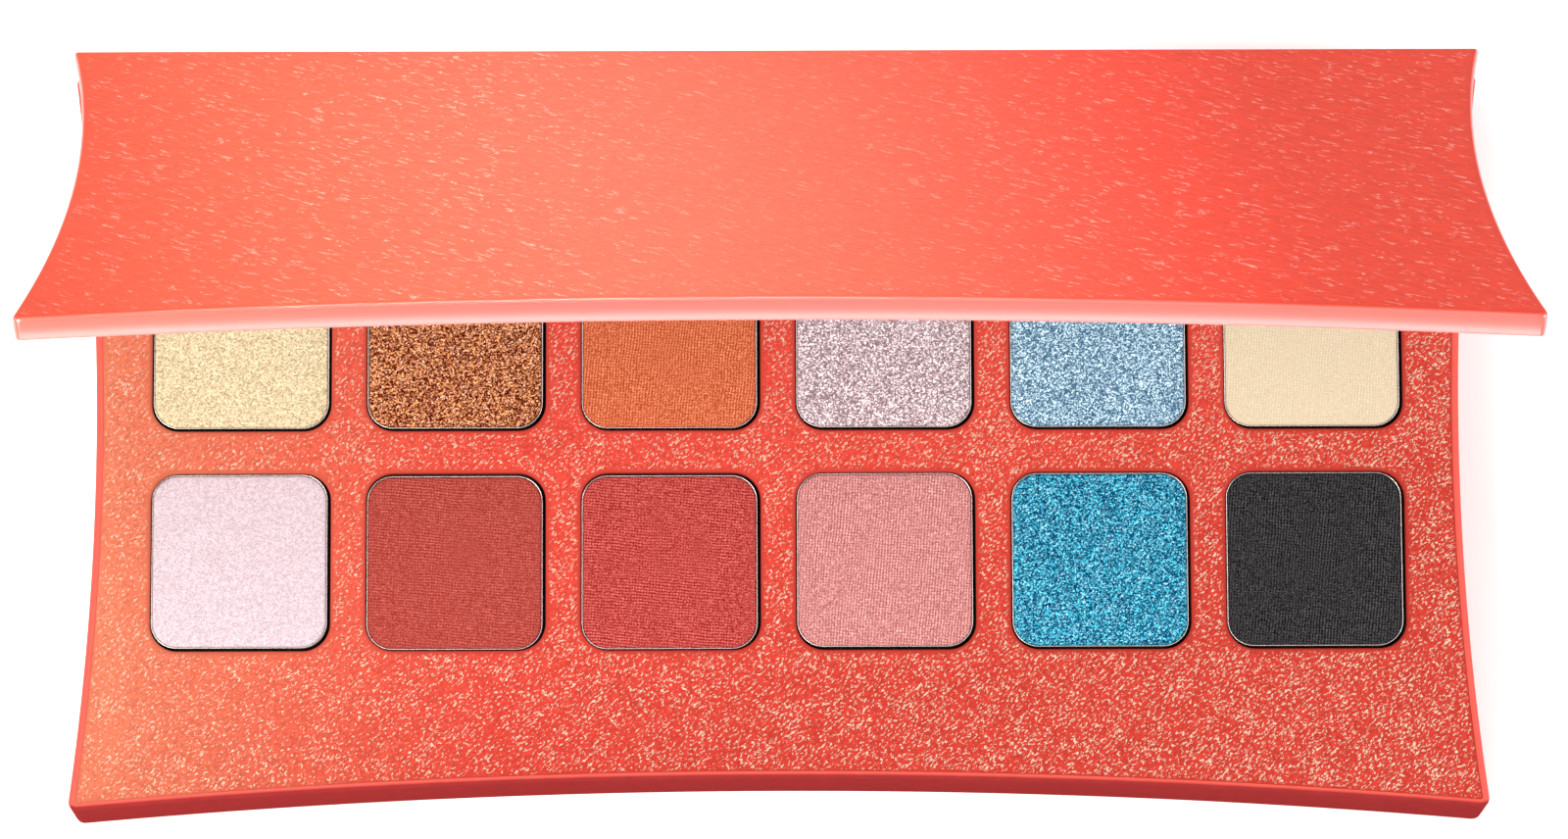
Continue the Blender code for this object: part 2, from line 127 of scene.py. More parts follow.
def spread(tree, value, low, high, toLow=0.0, toHigh=1.0, smooth=False):
    sockets = {"Value": value, "From Min": low, "From Max": high, "To Min": toLow, "To Max": toHigh}
    kind = "SMOOTHSTEP" if smooth else "LINEAR"
    return addNode(tree, "MapRange", sockets, interpolation_type=kind).outputs["Result"]


def blendColours(tree, share, first, second):
    # By number, as the Mix node has sockets of the same name for each kind of value
    return addNode(tree, "Mix", {0: share, 6: first, 7: second}, data_type="RGBA").outputs[2]


def facing(tree, axis):
    # How far the surface faces along one of the piece's own axes
    normal = addNode(tree, "TexCoord", {}).outputs["Normal"]
    return addNode(tree, "SeparateXYZ", {"Vector": normal}).outputs[axis]


def wallToFace(tree, wall, face):
    # One value on upright walls and another on level faces
    return spread(tree, facing(tree, "Z"), *wallToLevel, wall, face)


def bump(tree, shader, height, depth, strength):
    node = addNode(tree, "Bump", {"Height": height, "Distance": depth, "Strength": strength})
    feed(tree, shader, "Normal", node.outputs["Normal"])


# Meshes
tiny = 1e-6             # closer than this is the same height or place
leastRadius = 0.00002   # no rounded corner gets tighter
fillTolerance = 1e-7
fillRoom = 0.6          # least room from a fill point to the outline, in spacings
sharpAngle = math.radians(38)


def arc(centre, radius, start, end, steps):
    angles = [start + (end - start) * step / steps for step in range(steps + 1)]
    return [(centre[0] + radius * math.cos(a), centre[1] + radius * math.sin(a)) for a in angles]


def circle(radius, steps):
    return arc((0, 0), radius, 0, math.tau, steps)[:-1]


def lift(outline, height):
    return [(x, y, height) for x, y in outline]


def quarter(radius, steps):
    # Inset and drop of points round a quarter circle, from the flat face down to the wall
    turns = [math.pi / 2 * step / steps for step in range(steps + 1)]
    return [(radius * (1 - math.sin(turn)), radius * (1 - math.cos(turn))) for turn in turns]


class Skin:
    # Points and faces of one piece as they are made
    def __init__(self):
        self.points = []
        self.faces = []

    def ring(self, points):
        start = len(self.points)
        self.points += points
        return list(range(start, start + len(points)))

    def loft(self, rings):
        for lower, upper in zip(rings, rings[1:]):
            for step in range(len(lower)):
                after = (step + 1) % len(lower)
                self.faces.append((lower[step], lower[after], upper[after], upper[step]))

    def cap(self, ring):
        self.faces.append(tuple(ring))

    def close(self, rings):
        # A solid from its lowest ring to its last
        self.cap(rings[0][::-1])
        self.loft(rings)
        self.cap(rings[-1])

    def flatLoops(self, loops):
        return [np.array([self.points[index][:2] for index in loop]) for loop in loops]

    def fill(self, loops, spacing, height):
        # Triangles between the first loop and the loops inside it, in a staggered pattern
        edge = [index for loop in loops for index in loop]
        flat = [Vector(self.points[index][:2]) for index in edge]
        borders = []
        start = 0
        for loop in loops:
            borders += [(start + step, start + (step + 1) % len(loop)) for step in range(len(loop))]
            start += len(loop)
        if spacing:
            flat += [Vector(point) for point in staggered(self.flatLoops(loops), spacing)]
        found = delaunay_2d_cdt(flat, borders, [], 1, fillTolerance)  # 1 keeps what lies inside
        places, triangles, origins = found[0], found[2], found[3]
        owner = {index: number for number, loop in enumerate(loops) for index in loop}
        numbers = []
        for place, origin in zip(places, origins):
            known = [index for index in origin if index < len(edge)]
            if known:
                numbers.append(edge[known[0]])
            else:
                numbers.append(len(self.points))
                self.points.append((place.x, place.y, height))
        for triangle in triangles:
            corners = tuple(numbers[index] for index in triangle)
            owners = {owner.get(corner) for corner in corners}
            if len(owners) > 1 or owners <= {None, 0}:  # not across an inner loop
                self.faces.append(corners)

    def mesh(self, name):
        made = bpy.data.meshes.new(name)
        made.from_pydata(self.points, [], self.faces)
        made.validate()
        form = bmesh.new()
        form.from_mesh(made)
        bmesh.ops.recalc_face_normals(form, faces=form.faces)
        form.to_mesh(made)
        form.free()
        return made


def edgeFinder(outlines):
    # Search tree of the points and midpoints of closed outlines
    parts = []
    for outline in outlines:
        parts += [outline, (outline + np.roll(outline, -1, axis=0)) / 2]
    points = np.vstack(parts)
    tree = KDTree(len(points))
    for number, (x, y) in enumerate(points):
        tree.insert((x, y, 0), number)
    tree.balance()
    return tree


def crossings(outlines, y):
    # Where a row meets the outlines, from left to right
    found = []
    for first in outlines:
        second = np.roll(first, -1, axis=0)
        meets = (first[:, 1] > y) != (second[:, 1] > y)
        start = first[meets]
        run = second[meets] - start
        found.append(start[:, 0] + (y - start[:, 1]) * run[:, 0] / run[:, 1])
    return np.sort(np.concatenate(found))


def staggered(outlines, spacing):
    # Points of a triangle pattern inside the first outline and outside the others
    low, high = outlines[0].min(0), outlines[0].max(0)
    edges = edgeFinder(outlines)
    columns = np.arange(low[0], high[0], spacing)
    points = []
    for number, y in enumerate(np.arange(low[1], high[1], spacing * math.sqrt(3) / 2)):
        row = columns + spacing / 2 * (number % 2)
        within = np.searchsorted(crossings(outlines, y), row) % 2 == 1
        points += [(x, y) for x in row[within] if edges.find((x, y, 0))[2] > spacing * fillRoom]
    return points


def asPiece(name, mesh, finish, body, slot, *stoodFor, stands=None):
    mesh.materials.clear()
    mesh.materials.append(finish)
    mesh.shade_smooth()
    mesh.set_sharp_from_angle(angle=sharpAngle)
    piece = bpy.data.objects.new(name, mesh)
    bpy.context.scene.collection.objects.link(piece)
    if stands is not None:
        piece.matrix_world = stands
    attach(piece, body)
    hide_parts(*stoodFor)


def carve(mesh, steps):
    # Joins and cuts in order, each with a closed mesh
    block = bpy.data.objects.new("block", mesh)
    bpy.context.scene.collection.objects.link(block)
    tools = []
    for operation, tool in steps:
        cutter = bpy.data.objects.new("cutter", tool)
        bpy.context.scene.collection.objects.link(cutter)
        modifier = block.modifiers.new("carve", "BOOLEAN")
        modifier.operation = operation
        modifier.object = cutter
        tools.append(cutter)
    bpy.context.view_layer.update()
    depsgraph = bpy.context.evaluated_depsgraph_get()
    carved = bpy.data.meshes.new_from_object(block.evaluated_get(depsgraph))
    for spare in tools + [block]:
        bpy.data.objects.remove(spare)
    return carved


def prism(outline, bottom, top):
    skin = Skin()
    skin.close([skin.ring(lift(outline, bottom)), skin.ring(lift(outline, top))])
    return skin.mesh("prism")


def alongHinge(profile, start, end):
    # Profile of y and z from the hinge axis, drawn out along X
    tool = prism(profile, start, end)
    tool.transform(Matrix((
        (0, 0, 1, 0),
        (1, 0, 0, hingeAxis.y),
        (0, 1, 0, hingeAxis.z),
        (0, 0, 0, 1),
    )))
    return tool


def box(low, high):
    outline = [(low[0], low[1]), (high[0], low[1]), (high[0], high[1]), (low[0], high[1])]
    return prism(outline, low[2], high[2])


# Outlines of the base and the lid
case = {
    "depth": 0.1050,
    "height": 0.0140,
    "edgeSteps": 7,
    "sidePoints": 150,
    "longPoints": 290,
    "cornerPoints": 8,
}
baseForm = {
    "width": 0.1983,         # across the sharp corners
    "sideSag": 0.0035,       # sides drawn in
    "frontSag": 0.0044,      # front drawn in
    "corner": 0.0013,        # upright corners at the front
    "backCorner": 0.0012,
    "edge": 0.0009,          # rounded upper edge
    "foot": 0.0007,          # rounded lower edge
    "lean": 0.0,             # foot of the wall drawn in along an arc
    "leanSteps": 1,
}
lidForm = {
    "width": 0.1993,
    "sideSag": 0.0043,
    "frontSag": 0.0068,      # drawn in further than the base, a lip for the thumb
    "corner": 0.0010,
    "backCorner": 0.0005,
    "edge": 0.0005,
    "foot": 0.0003,
    "lean": 0.00028,
    "leanSteps": 10,
}


def sagRadius(chord, sag):
    return (chord * chord / 4 + sag * sag) / (2 * sag)


def caseOutline(inset, back, form=baseForm):
    # The case outline moved in by inset, with its straight edge at y = back
    frontSag, sideSag = form["frontSag"], form["sideSag"]
    sideRadius = sagRadius(case["depth"], sideSag)
    frontRadius = sagRadius(form["width"], frontSag)
    sideCentre = Vector((form["width"] / 2 - sideSag + sideRadius, 0))
    frontCentre = Vector((0, frontSag - case["depth"] / 2 - frontRadius))

    # Front corner: touches the front arc and the side arc
    radius = max(form["corner"] - inset, leastRadius)
    sideReach = sideRadius + inset + radius
    frontReach = frontRadius + inset + radius
    span = sideCentre - frontCentre
    along = (frontReach**2 - sideReach**2 + span.length_squared) / (2 * span.length)
    across = math.sqrt(frontReach**2 - along**2)
    way = span.normalized()
    front = frontCentre + along * way + across * Vector((-way.y, way.x))

    # Back corner: touches the side arc and the straight edge
    backRadius = max(form["backCorner"] - inset, leastRadius)
    rearReach = sideRadius + inset + backRadius
    rearLine = back - backRadius
    rear = Vector((sideCentre.x - math.sqrt(rearReach**2 - rearLine**2), rearLine))

    frontTurn = math.atan2(front.y - frontCentre.y, front.x)
    sideStart = math.atan2(front.y, front.x - sideCentre.x) % math.tau
    sideEnd = math.atan2(rear.y, rear.x - sideCentre.x) % math.tau
    steps = case["cornerPoints"]
    right = arc(front, radius, frontTurn - math.pi, sideStart - math.pi, steps)
    right += arc(sideCentre, sideRadius + inset, sideStart, sideEnd, case["sidePoints"])[1:-1]
    right += arc(rear, backRadius, sideEnd - math.pi, math.pi / 2, steps)
    left = [(-x, y) for x, y in reversed(right)]
    half = rear.x
    count = case["longPoints"]
    rearEdge = [(half - 2 * half * step / count, back) for step in range(1, count)]
    frontEdge = arc(frontCentre, frontRadius + inset, math.pi - frontTurn, frontTurn, count)
    return right + rearEdge + left + frontEdge[1:-1]


def roundedSquare(low, high, radius, steps):
    points = []
    corners = ((high.x - radius, high.y - radius), (low.x + radius, high.y - radius),
               (low.x + radius, low.y + radius), (high.x - radius, low.y + radius))
    for number, centre in enumerate(corners):
        start = number * math.pi / 2
        points += arc(centre, radius, start, start + math.pi / 2, steps)
    return points


def evenly(outline, spacing):
    # Extra points on the long sides of an outline
    points = []
    for first, second in zip(outline, outline[1:] + outline[:1]):
        steps = max(1, round(math.dist(first, second) / spacing))
        for step in range(steps):
            share = step / steps
            x = first[0] + (second[0] - first[0]) * share
            y = first[1] + (second[1] - first[1]) * share
            points.append((x, y))
    return points


def grown(low, high, amount):
    reach = Vector((amount, amount, 0))
    return low - reach, high + reach


# Coral finishes
coral = {
    "tone": (0.52, 0.060, 0.043),
    "dark": 0.95,                      # shares of the tone in the mottle
    "light": 1.06,
    "mottle": 420.0,
    "mottleDetail": 3.0,
    "paintedFrontShade": (0.394, 0.317, 0.447),  # painted shade on the base's front wall: share of the tone left there
    "frontFrom": -0.12,                # where a wall starts to count as front for the painted shade, and where it fully does
    "frontTo": -0.50,
    "rimShine": 0.20,
    "rough": (0.40, 0.52),
    "grain": 9000.0,
    "depth": 0.00001,
    "strength": 0.4,
}


def smoothCoral(name, paintedFrontShade):
    # Satin moulding of the rim, the walls and the frame round the mirror, with painted shade on walls
    # that face the front
    look = coral
    finish, tree, shader = newFinish(name, {"Specular IOR Level": look["rimShine"]})
    place = position(tree)
    mottle = speckle(tree, place, look["mottle"], look["mottleDetail"])
    dark, light = shade(look["tone"], look["dark"]), shade(look["tone"], look["light"])
    tone = blendColours(tree, spread(tree, mottle, *noiseSpan), dark, light)
    front = spread(tree, facing(tree, "Y"), look["frontFrom"], look["frontTo"])
    # painted shade: walls that face the front get a darker copy of the tone
    paintedShade = blendColours(tree, front, white, (*paintedFrontShade, 1.0))
    feed(tree, shader, "Base Color", vectorNode(tree, "MULTIPLY", tone, paintedShade))
    shine = wallToFace(tree, 0.0, look["rimShine"])
    shine = mathNode(tree, "MULTIPLY", shine, spread(tree, front, 0.0, 1.0, 1.0, 0.0))
    feed(tree, shader, "Specular IOR Level", shine)
    feed(tree, shader, "Roughness", spread(tree, mottle, *noiseSpan, *look["rough"]))
    bump(tree, shader, speckle(tree, place, look["grain"]), look["depth"], look["strength"])
    return finish


crackle = {  # the same on the plate and the lid
    "halfWidth": 0.099,
    "grainDetail": 1.5,
    "grainSpan": (0.32, 0.68),
    "breakDetail": 1.0,
    "clumpDetail": 2.0,
    "mottleDetail": 3.0,
    "roughStray": 0.03,
    "strength": 0.8,
}
plateLook = {
    "tone": (0.345, 0.0285, 0.0195),
    "paintedWarmTone": (0.345, 0.081, 0.044),  # painted warm light at the left end
    "paintedWarmFrom": -0.108,
    "paintedWarmTo": -0.036,
    "dark": 0.78,                       # shares of the tone in the grain: painted shade in its hollows, painted light on its crests
    "light": 1.18,
    "mottle": 130.0,
    "mottling": 0.2,
    "paintedLightGain": (1.30, 1.50, 1.52),         # painted light, paler towards the back left, along a slanted line
    "paintedLightFrom": -0.050,
    "paintedLightTo": 0.010,
    "paintedLightSlope": 0.35,
    "grain": 2600.0,
    "curl": 0.4,
    "turn": 0.75,
    "stretch": (1.4, 0.8, 1.0),
    "crestLevel": 0.50,                 # painted glints follow this level of the grain
    "crestWidth": 0.085,
    "crestFlat": 0.03,
    "breaks": 2300.0,                   # noise that breaks the crests up
    "clump": 300.0,
    "clumping": 0.25,
    "barLeft": 0.678,                   # higher bar, fewer painted glints
    "barRight": 0.637,
    "soft": 0.05,
    # colour of the painted glints
    "paintedGlint": (0.54, 0.40, 0.30),
    "paleLeft": 0.95,
    "paleRight": 1.0,
    "ior": 1.5,
    "shine": 0.03,
    "wallShine": 0.03,
    "rough": 0.42,
    "wallRough": 0.45,
    "relief": 0.00006,
}
lidLook = {
    "tone": (0.69, 0.0605, 0.0360),
    # painted warm light at the left end of the lid
    "paintedWarmTone": (0.65, 0.074, 0.038),
    "paintedWarmFrom": -0.090,
    "paintedWarmTo": -0.020,
    "dark": 0.90,
    "light": 1.08,
    "mottle": 170.0,
    "mottling": 0.3,
    # painted shade, a little darker towards the hinge
    "paintedLightGain": (0.97, 0.97, 0.97),
    "paintedLightFrom": -0.040,
    "paintedLightTo": 0.040,
    "paintedLightSlope": 0.0,
    "grain": 950.0,
    "curl": 0.9,
    "turn": -0.63,
    "stretch": (2.3, 0.75, 1.0),
    "crestLevel": 0.52,
    "crestWidth": 0.060,
    "crestFlat": 0.0,
    "breaks": 900.0,
    "clump": 300.0,
    "clumping": 0.3,
    "barLeft": 0.70,
    "barRight": 0.70,
    "soft": 0.12,
    # colour of the painted glints
    "paintedGlint": (0.95, 0.48, 0.39),
    "paleLeft": 0.50,
    "paleRight": 0.68,
    "haze": 0.30,                       # share of the painted glints left in the sheen along the middle
    "hazeReach": 0.055,
    "ior": 2.0,
    "shine": 0.004,
    "wallShine": 0.85,
    "rough": 0.42,
    "wallRough": 0.30,
    "relief": 0.00012,
}


def crackleCoral(name, look):
    # Coral with a fine raised crackle, some of its crests painted pale as glints;
    # "crackle" on the mesh ends it at the edges
    finish, tree, shader = newFinish(name, {"IOR": look["ior"], "Specular IOR Level": look["shine"]})
    place = position(tree)
    across, along, _ = addNode(tree, "SeparateXYZ", {"Vector": place}).outputs
    ends = (-crackle["halfWidth"], crackle["halfWidth"])
    amount = addNode(tree, "Attribute", {}, attribute_name="crackle").outputs["Fac"]
    layout = {"Vector": place, "Rotation": (0, 0, look["turn"]), "Scale": look["stretch"]}
    turned = addNode(tree, "Mapping", layout, vector_type="TEXTURE").outputs["Vector"]
    grain = speckle(tree, turned, look["grain"], crackle["grainDetail"], curl=look["curl"])

    # Painted glints: crests of the grain, broken up and gathered in clumps and painted pale; they raise
    # the relief too
    offset = mathNode(tree, "ABSOLUTE", mathNode(tree, "SUBTRACT", grain, look["crestLevel"]))
    crest = spread(tree, offset, look["crestWidth"], look["crestFlat"], smooth=True)
    breaks = speckle(tree, turned, look["breaks"], crackle["breakDetail"])
    clump = speckle(tree, place, look["clump"], crackle["clumpDetail"])
    bar = spread(tree, across, *ends, look["barLeft"], look["barRight"])
    kept = mathNode(tree, "ADD", breaks, mathNode(tree, "MULTIPLY", clump, look["clumping"]))
    kept = spread(tree, mathNode(tree, "SUBTRACT", kept, bar), 0.0, look["soft"], smooth=True)
    paintedGlint = mathNode(tree, "MULTIPLY", mathNode(tree, "MULTIPLY", crest, kept), amount)

    # Ground: painted warm light makes it orange at the left end, redder from there on
    paintedWarmLight = spread(tree, across, look["paintedWarmFrom"], look["paintedWarmTo"], 1.0, 0.0, smooth=True)
    tone, paintedWarmTone = look["tone"], look["paintedWarmTone"]
    low = blendColours(tree, paintedWarmLight, shade(tone, look["dark"]), shade(paintedWarmTone, look["dark"]))
    high = blendColours(tree, paintedWarmLight, shade(tone, look["light"]), shade(paintedWarmTone, look["light"]))
    # painted relief shading: the ground is darker where the grain is low and lighter where it is high
    fine = mathNode(tree, "MULTIPLY", spread(tree, grain, *crackle["grainSpan"]), amount)
    mottle = spread(tree, speckle(tree, turned, look["mottle"], crackle["mottleDetail"]), *noiseSpan)
    ground = blendColours(tree, fine, low, high)
    ground = blendColours(tree, mathNode(tree, "MULTIPLY", mottle, look["mottling"]), ground, high)
    # painted light and shade along a slanted line
    slant = mathNode(tree, "SUBTRACT", along, mathNode(tree, "MULTIPLY", across, look["paintedLightSlope"]))
    paintedLightGain = spread(tree, slant, look["paintedLightFrom"], look["paintedLightTo"], smooth=True)
    paintedLightGain = blendColours(tree, paintedLightGain, white, (*look["paintedLightGain"], 1.0))
    ground = vectorNode(tree, "MULTIPLY", ground, paintedLightGain)

    # painted glints stronger towards the right end, where the light catches the crests more
    paleness = spread(tree, across, *ends, look["paleLeft"], look["paleRight"])
    if "haze" in look:
        beside = mathNode(tree, "ABSOLUTE", across)
        fading = spread(tree, beside, 0.0, look["hazeReach"], look["haze"], 1.0, smooth=True)
        paleness = mathNode(tree, "MULTIPLY", paleness, fading)
    pale = mathNode(tree, "MULTIPLY", paintedGlint, paleness)
    feed(tree, shader, "Base Color", blendColours(tree, pale, ground, (*look["paintedGlint"], 1.0)))

    feed(tree, shader, "Specular IOR Level", wallToFace(tree, look["wallShine"], look["shine"]))
    stray = spread(tree, fine, 0.0, 1.0, -crackle["roughStray"], crackle["roughStray"])
    rough = wallToFace(tree, look["wallRough"], look["rough"])
    feed(tree, shader, "Roughness", mathNode(tree, "ADD", rough, stray))
    bump(tree, shader, mathNode(tree, "ADD", fine, paintedGlint), look["relief"], crackle["strength"])
    return finish


waves = {"finer": 2.1, "finerShare": 0.5, "slice": 0.3, "finerSlice": 4.7}


def wrinkle(x, y, size, depth):
    # Height of the coarse waves in the crackle
    fine = size / waves["finer"]
    first = noise.noise(Vector((x / size, y / size, waves["slice"])))
    second = noise.noise(Vector((x / fine, y / fine, waves["finerSlice"])))
    return depth * (first + waves["finerShare"] * second)


def crackleFace(mesh, faceHeight, outlines, fade, size, depth):
    # Waves on the flat face that die out towards its edges, and how much crackle each point has
    points = np.array([vert.co for vert in mesh.vertices])
    amounts = np.zeros(len(points))
    onFace = np.abs(points[:, 2] - faceHeight) < tiny
    flat = points[onFace][:, :2]
    edges = edgeFinder(outlines)
    room = np.array([edges.find((x, y, 0))[2] for x, y in flat])
    share = np.clip(room / fade, 0, 1)
    share = share * share * (3 - 2 * share)
    amounts[onFace] = share
    lifts = [wrinkle(x, y, size, depth) for x, y in flat]
    points[onFace, 2] += share * (np.array(lifts) - depth)
    mesh.vertices.foreach_set("co", points.ravel())
    layer = mesh.attributes.new("crackle", "FLOAT", "POINT")
    layer.data.foreach_set("value", np.asarray(amounts, np.float32))
    mesh.update()


# Base shell
baseShell = {
    "rim": 0.0010,
    "ledge": 0.0024,         # from the outside to the well under the plate
    "seat": 0.0123,          # height of the ledge
    "floor": 0.0016,
    "seatBack": 0.0439,
    "ledgeBack": 0.0429,
    "ridge": 0.0046,         # radius of the hinge rail
    "ridgeEnd": 0.0952,
    "ridgeFoot": 0.0015,
    "ridgeBack": 0.0012,
    "ridgeSteps": 24,
    "notchIn": 0.0718,       # notches for the lid's knuckles
    "notchOut": 0.0865,
    "notchFront": 0.0027,
    "notchDepth": 0.0034,
    "bore": 0.0010,
    "boreIn": 0.0638,
    "boreSteps": 32,
    "over": 0.0010,          # how far the cutters reach past the piece
}


def caseBlock(bottom, top, back, form):
    # Solid with the case outline and rounded edges, its flat faces left as single faces
    skin = Skin()
    rings = []

    def ringAt(inset, height):
        rings.append(skin.ring(lift(caseOutline(inset, back - inset, form), height)))

    for inset, drop in quarter(form["foot"], case["edgeSteps"]):
        ringAt(inset + form["lean"], bottom + drop)
    wallFoot = bottom + form["foot"]
    wallTop = top - form["edge"]
    for step in range(1, form["leanSteps"]):
        share = step / form["leanSteps"]
        ringAt(form["lean"] * (1 - share) ** 2, wallFoot + (wallTop - wallFoot) * share)
    for inset, drop in reversed(quarter(form["edge"], case["edgeSteps"])):
        ringAt(inset, top - drop)
    skin.close(rings)
    return skin.mesh("block")


def buildBaseShell(finish):
    size = baseShell
    block = caseBlock(0.0, case["height"], case["depth"] / 2, baseForm)
    above = case["height"] + size["over"]
    drop = case["height"] - hingeAxis.z
    startTurn = math.acos(size["ridgeBack"] / size["ridge"])
    endTurn = math.pi - math.asin(drop / size["ridge"])
    ridge = arc((0, 0), size["ridge"], startTurn, endTurn, size["ridgeSteps"])
    ridge += [(ridge[-1][0], size["ridgeFoot"]), (size["ridgeBack"], size["ridgeFoot"])]
    bore = circle(size["bore"], size["boreSteps"])
    steps = [
        ("DIFFERENCE", prism(caseOutline(size["rim"], size["seatBack"]), size["seat"], above)),
        ("DIFFERENCE", prism(caseOutline(size["ledge"], size["ledgeBack"]), size["floor"], above)),
        ("UNION", alongHinge(ridge, -size["ridgeEnd"], size["ridgeEnd"])),
    ]
    for side in (-1, 1):
        ends = sorted((side * size["notchIn"], side * size["notchOut"]))
        low = (ends[0], hingeAxis.y - size["notchFront"], hingeAxis.z - size["notchDepth"])
        high = (ends[1], case["depth"] / 2 + size["over"], hingeAxis.z + size["ridge"] + size["over"])
        steps.append(("DIFFERENCE", box(low, high)))
        ends = sorted((side * size["boreIn"], side * (baseForm["width"] / 2 + size["over"])))
        steps.append(("DIFFERENCE", alongHinge(bore, *ends)))
    shell = carve(block, steps)
    asPiece("palette_base", shell, finish, "base", "coral_case", "base_shell")
    print("base shell:", len(shell.polygons), "faces")


# Face plate
facePlate = {
    "inset": 0.00102,
    "back": 0.04388,
    "thickness": 0.0014,
    "seam": 0.00006,         # rounding against the rim
    "window": 0.0126,        # half of a window
    "windowRadius": 0.0039,
    "edge": 0.00030,         # rounding of the windows
    "edgeSteps": 4,
    "cornerSteps": 10,
    "spacing": 0.00047,
    "fade": 0.0005,          # the crackle ends over this length
    "wave": 0.0016,
    "depth": 0.00003,
}


def drawnIn(point, centre, step):
    # A point of a window's upper outline moved in towards the window's wall
    core = facePlate["window"] - facePlate["windowRadius"]
    offset = Vector((point[0] - centre.x, point[1] - centre.y))
    nearest = Vector((max(-core, min(core, offset.x)), max(-core, min(core, offset.y))))
    way = (offset - nearest).normalized()
    return (point[0] - way.x * step, point[1] - way.y * step)


def buildFacePlate(finish):
    size = facePlate
    top = case["height"]
    bottom = top - size["thickness"]
    skin = Skin()
    outer = []
    for inset, drop in quarter(size["seam"], size["edgeSteps"]):
        outline = caseOutline(size["inset"] + inset, size["back"] - inset)
        outer.append(skin.ring(lift(outline, top - drop)))
    outer.append(skin.ring(lift(caseOutline(size["inset"], size["back"]), bottom)))
    skin.loft(outer)
    holes = []
    feet = []
    for name in panNames:
        low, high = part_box(name)
        centre = (low + high) / 2
        low, high = grown(centre, centre, size["window"] + size["edge"])
        upper = roundedSquare(low, high, size["windowRadius"] + size["edge"], size["cornerSteps"])
        upper = evenly(upper, size["spacing"])
        rings = []
        for inset, drop in quarter(size["edge"], size["edgeSteps"]):
            outline = [drawnIn(point, centre, size["edge"] - inset) for point in upper]
            rings.append(skin.ring(lift(outline, top - drop)))
        rings.append(skin.ring([(*skin.points[index][:2], bottom) for index in rings[-1]]))
        skin.loft(rings)
        holes.append(rings[0])
        feet.append(rings[-1])
    skin.fill([outer[0]] + holes, size["spacing"], top)
    skin.fill([outer[-1]] + feet, None, bottom)
    plate = skin.mesh("plate")
    outlines = skin.flatLoops([outer[0]] + holes)
    crackleFace(plate, top, outlines, size["fade"], size["wave"], size["depth"])
    asPiece("crackle_plate", plate, finish, "base", "coral_plate", "face_plate")
    print("face plate:", len(plate.polygons), "faces")


# Lid shell
lidShell = {
    "gap": 0.0003,           # between the shut lid and the base
    "thickness": 0.0034,
    "skin": 0.0012,
    "wall": 0.0018,
    "tail": 0.0012,          # behind the hinge axis
    "rimBack": 0.0051,       # back of the hollow, before the hinge axis
    "knuckle": 0.0022,
    "knuckleIn": 0.07215,
    "knuckleOut": 0.08615,
    "knuckleSteps": 48,
    "web": 0.0020,
    "bore": 0.0010,
    "boreSteps": 32,
    "over": 0.0010,
    "spacing": 0.00058,
    "fade": 0.0012,
    "wave": 0.0019,
    "depth": 0.00004,
}


def buildLidShell(finish):
    size = lidShell
    bottom = case["height"] + size["gap"]
    top = bottom + size["thickness"]
    inside = top - size["skin"]
    back = hingeAxis.y + size["tail"]
    rimBack = hingeAxis.y - size["rimBack"]
    below = bottom - size["over"]
    block = caseBlock(bottom, top, back, lidForm)
    knuckle = circle(size["knuckle"], size["knuckleSteps"])
    bore = circle(size["bore"], size["boreSteps"])
    hollow = prism(caseOutline(size["wall"], rimBack - size["wall"], lidForm), below, inside)
    backCut = box((-lidForm["width"], rimBack, below), (lidForm["width"], back + size["over"], inside))
    steps = [("DIFFERENCE", hollow), ("DIFFERENCE", backCut)]
    for side in (-1, 1):
        ends = sorted((side * size["knuckleIn"], side * size["knuckleOut"]))
        steps.append(("UNION", alongHinge(knuckle, *ends)))
        low = (ends[0], hingeAxis.y - size["web"] / 2, hingeAxis.z)
        high = (ends[1], hingeAxis.y + size["web"] / 2, inside + size["skin"] / 2)
        steps.append(("UNION", box(low, high)))
        steps.append(("DIFFERENCE", alongHinge(bore, ends[0] - size["over"], ends[1] + size["over"])))
    shell = denseTop(carve(block, steps), top, size["spacing"])
    outline = np.array(caseOutline(lidForm["edge"], back - lidForm["edge"], lidForm))
    crackleFace(shell, top, [outline], size["fade"], size["wave"], size["depth"])
    asPiece("palette_lid", shell, finish, "lid", "coral_case", "lid_shell", stands=lidStands)
    print("lid shell:", len(shell.polygons), "faces")


def denseTop(mesh, height, spacing):
    # The flat top of a block made of small triangles instead of one face
    form = bmesh.new()
    form.from_mesh(mesh)
    flat = [face for face in form.faces if all(abs(vert.co.z - height) < tiny for vert in face.verts)]
    rim = [edge for edge in form.edges if sum(face in flat for face in edge.link_faces) == 1]
    bmesh.ops.delete(form, geom=flat, context="FACES_ONLY")
    loop = chain(rim)
    skin = Skin()
    ring = skin.ring([tuple(vert.co) for vert in loop])
    skin.fill([ring], spacing, height)
    corners = loop + [form.verts.new(point) for point in skin.points[len(loop):]]
    for face in skin.faces:
        form.faces.new([corners[index] for index in face])
    bmesh.ops.recalc_face_normals(form, faces=form.faces)
    form.to_mesh(mesh)
    form.free()
    return mesh


def chain(edges):
    # Points of a closed loop in order
    follows = {}
    for edge in edges:
        for vert in edge.verts:
            follows.setdefault(vert, []).append(edge.other_vert(vert))
    start = edges[0].verts[0]
    path = [start]
    previous, current = None, start
    while True:
        onward = [vert for vert in follows[current] if vert is not previous]
        previous, current = current, onward[0]
        if current is start:
            return path
        path.append(current)


